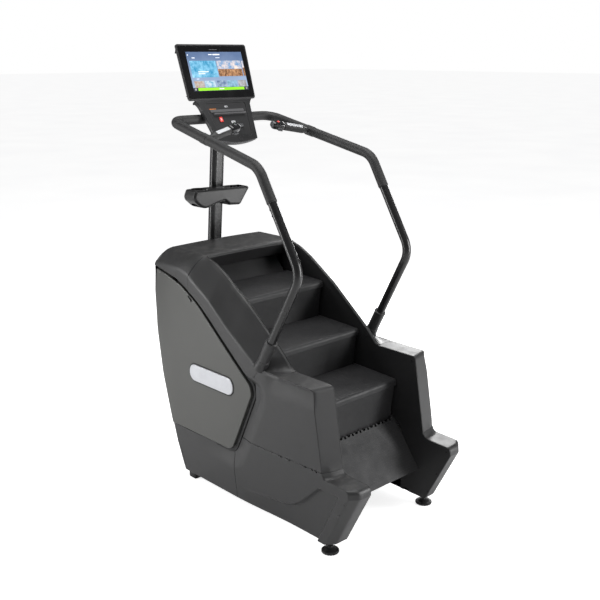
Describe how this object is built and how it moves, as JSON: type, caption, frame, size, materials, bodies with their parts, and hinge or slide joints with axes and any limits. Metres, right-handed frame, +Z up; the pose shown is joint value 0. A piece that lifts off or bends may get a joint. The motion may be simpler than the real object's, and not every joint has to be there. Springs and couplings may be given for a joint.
{
  "type": "stair climber",
  "caption": "Revolving-stair exercise machine with moulded side housings, a loop of treads and risers, bent handrails, a leaning mast, an accessory tray and a tilted touch console.",
  "frame": {"origin": "centre of the footprint on the floor", "axes": "+Z up; +Y the way the user faces, towards the console; +X to the user's right"},
  "size_m": [0.8078, 1.476, 2.2541],
  "materials": {
    "housing_plastic": "satin moulded dark grey",
    "wall_sheet": "fine-textured near-black powder coat",
    "side_cover_paint": "warm metallic grey, satin",
    "badge_silver": "silver, satin gloss",
    "step_plastic": "grained near-black",
    "tube_paint": "gloss black",
    "grip_rubber": "matt black",
    "frame_paint": "black powder coat",
    "machined_steel": "machined",
    "chain_steel": "oiled",
    "belt_rubber": "ribbed",
    "cast_aluminium": "as cast",
    "screen_glass": "glossy black glass",
    "console_plastic": "satin",
    "red_button": "gloss red",
    "grey_button": "satin",
    "pulse_steel": "polished",
    "screw_steel": "black zinc",
    "foot_rubber": "matt"
  },
  "bodies": {
    "machine": {"base_frame": "frame_paint", "rear_foot_caps": "foot_rubber", "inner_wall_left": "wall_sheet", "inner_wall_right": "wall_sheet", "slope_covers": "housing_plastic", "front_arm_left": "housing_plastic", "front_arm_right": "housing_plastic", "lower_front_covers": "housing_plastic", "lower_rear_covers": "housing_plastic", "side_cover_left": "side_cover_paint", "side_cover_right": "side_cover_paint", "side_badges": "badge_silver", "top_housing": "housing_plastic", "rear_cover": "housing_plastic", "back_plate": "wall_sheet", "step_ramp": "step_plastic", "wall_screws": "screw_steel", "shaft_bearings": "cast_aluminium", "drive_belt": "belt_rubber", "alternator": "cast_aluminium", "controller_box": "console_plastic", "power_inlet": "console_plastic", "mast": "tube_paint", "accessory_tray": "console_plastic", "handrail_tubes": "tube_paint", "handrail_sockets": "housing_plastic", "handrail_grips": "grip_rubber", "inner_handles": "grip_rubber", "pulse_plates": "pulse_steel", "control_pods": "console_plastic", "display_housing": "console_plastic", "display_screen": "screen_glass", "console_panel": "console_plastic"},
    "front_run": {"front_treads": "step_plastic", "front_risers": "step_plastic", "front_step_axles": "machined_steel", "front_chains": "chain_steel"},
    "return_run": {"return_treads": "step_plastic", "return_risers": "step_plastic", "return_step_axles": "machined_steel", "return_chains": "chain_steel"},
    "lower_turning_tread": {"lower_turning_tread": "step_plastic"},
    "lower_turning_riser": {"lower_turning_riser": "step_plastic"},
    "upper_turning_tread": {"upper_turning_tread": "step_plastic"},
    "upper_turning_riser": {"upper_turning_riser": "step_plastic"},
    "upper_shaft": {"upper_shaft": "machined_steel", "upper_chain_wraps": "chain_steel", "drive_pulley": "cast_aluminium"},
    "lower_shaft": {"lower_shaft": "machined_steel", "lower_chain_wraps": "chain_steel"},
    "alternator_rotor": {"alternator_rotor": "machined_steel"},
    "levelling_foot_left": {"levelling_foot_left": "foot_rubber"},
    "levelling_foot_right": {"levelling_foot_right": "foot_rubber"},
    "pod_button_left": {"pod_button_left": "red_button"},
    "pod_button_right": {"pod_button_right": "red_button"},
    "pod_paddle_left": {"pod_paddle_left": "grey_button"},
    "pod_paddle_right": {"pod_paddle_right": "grey_button"},
    "stop_button": {"stop_button": "red_button"},
    "channel_toggle": {"channel_toggle": "grey_button"},
    "power_switch": {"power_switch": "console_plastic"}
  },
  "joints": [
    {"name": "front_run_slide", "type": "slide", "parent": "machine", "child": "front_run", "axis": [0, -0.789, -0.6144], "range_m": [-0.03, 0]},
    {"name": "return_run_slide", "type": "slide", "parent": "machine", "child": "return_run", "axis": [0, -0.789, -0.6144], "range_m": [0, 0.03]},
    {"name": "lower_tread_turn", "type": "hinge", "parent": "front_run", "child": "lower_turning_tread", "pos_m": [0, -0.35057, 0.42833], "axis": [1, 0, 0], "range_deg": [-21.9, 0]},
    {"name": "lower_riser_turn", "type": "hinge", "parent": "return_run", "child": "lower_turning_riser", "pos_m": [0, -0.25317, 0.30323], "axis": [1, 0, 0], "range_deg": [-24.5, 0]},
    {"name": "upper_tread_turn", "type": "hinge", "parent": "return_run", "child": "upper_turning_tread", "pos_m": [0, 0.53283, 0.91523], "axis": [1, 0, 0], "range_deg": [-21.9, 0]},
    {"name": "upper_riser_turn", "type": "hinge", "parent": "front_run", "child": "upper_turning_riser", "pos_m": [0, 0.43543, 1.04033], "axis": [1, 0, 0], "range_deg": [-24.5, 0]},
    {"name": "upper_shaft_spin", "type": "hinge", "parent": "machine", "child": "upper_shaft", "pos_m": [0, 0.51688, 1.00328], "axis": [1, 0, 0], "range_deg": [-22, 0]},
    {"name": "lower_shaft_spin", "type": "hinge", "parent": "machine", "child": "lower_shaft", "pos_m": [0, -0.33462, 0.34028], "axis": [1, 0, 0], "range_deg": [-22, 0]},
    {"name": "alternator_spin", "type": "hinge", "parent": "machine", "child": "alternator_rotor", "pos_m": [0, 0.42, 0.4], "axis": [1, 0, 0], "range_deg": [-94.5, 0]},
    {"name": "left_foot_screw", "type": "hinge", "parent": "machine", "child": "levelling_foot_left", "pos_m": [-0.337, -0.544, 0.02], "axis": [0, 0, 1], "range_deg": [-180, 180]},
    {"name": "right_foot_screw", "type": "hinge", "parent": "machine", "child": "levelling_foot_right", "pos_m": [0.337, -0.544, 0.02], "axis": [0, 0, 1], "range_deg": [-180, 180]},
    {"name": "left_pod_button_push", "type": "slide", "parent": "machine", "child": "pod_button_left", "axis": [0.0151, 0.5917, -0.806], "range_m": [0, 0.002], "stiffness_N_per_m": 900, "springref_m": -0.001},
    {"name": "left_pod_paddle_rock", "type": "hinge", "parent": "machine", "child": "pod_paddle_left", "pos_m": [-0.14774, 0.32711, 1.84016], "axis": [0.9594, 0.2185, 0.1784], "range_deg": [-12, 12], "stiffness_Nm_per_rad": 0.6},
    {"name": "right_pod_button_push", "type": "slide", "parent": "machine", "child": "pod_button_right", "axis": [-0.0151, 0.5917, -0.806], "range_m": [0, 0.002], "stiffness_N_per_m": 900, "springref_m": -0.001},
    {"name": "right_pod_paddle_rock", "type": "hinge", "parent": "machine", "child": "pod_paddle_right", "pos_m": [0.14774, 0.32711, 1.84016], "axis": [-0.9594, 0.2185, 0.1784], "range_deg": [-12, 12], "stiffness_Nm_per_rad": 0.6},
    {"name": "stop_button_push", "type": "slide", "parent": "machine", "child": "stop_button", "axis": [0, 0.8643, -0.503], "range_m": [0, 0.003], "stiffness_N_per_m": 900, "springref_m": -0.001},
    {"name": "channel_toggle_rock", "type": "hinge", "parent": "machine", "child": "channel_toggle", "pos_m": [0.052, 0.52012, 1.84944], "axis": [1, 0, 0], "range_deg": [-10, 10], "stiffness_Nm_per_rad": 0.4},
    {"name": "power_switch_rock", "type": "hinge", "parent": "machine", "child": "power_switch", "pos_m": [-0.215, 0.553, 0.2], "axis": [1, 0, 0], "range_deg": [-10, 10]}
  ],
  "couplings": [
    {"joint": "return_run_slide", "follows": "front_run_slide", "ratio": -1},
    {"joint": "lower_tread_turn", "follows": "front_run_slide", "rad_per_m": 12.66},
    {"joint": "lower_riser_turn", "follows": "front_run_slide", "rad_per_m": 14.173},
    {"joint": "upper_tread_turn", "follows": "front_run_slide", "rad_per_m": 12.66},
    {"joint": "upper_riser_turn", "follows": "front_run_slide", "rad_per_m": 14.173},
    {"joint": "upper_shaft_spin", "follows": "front_run_slide", "rad_per_m": 12.615},
    {"joint": "lower_shaft_spin", "follows": "front_run_slide", "rad_per_m": 12.615},
    {"joint": "alternator_spin", "follows": "front_run_slide", "rad_per_m": 54.664}
  ]
}
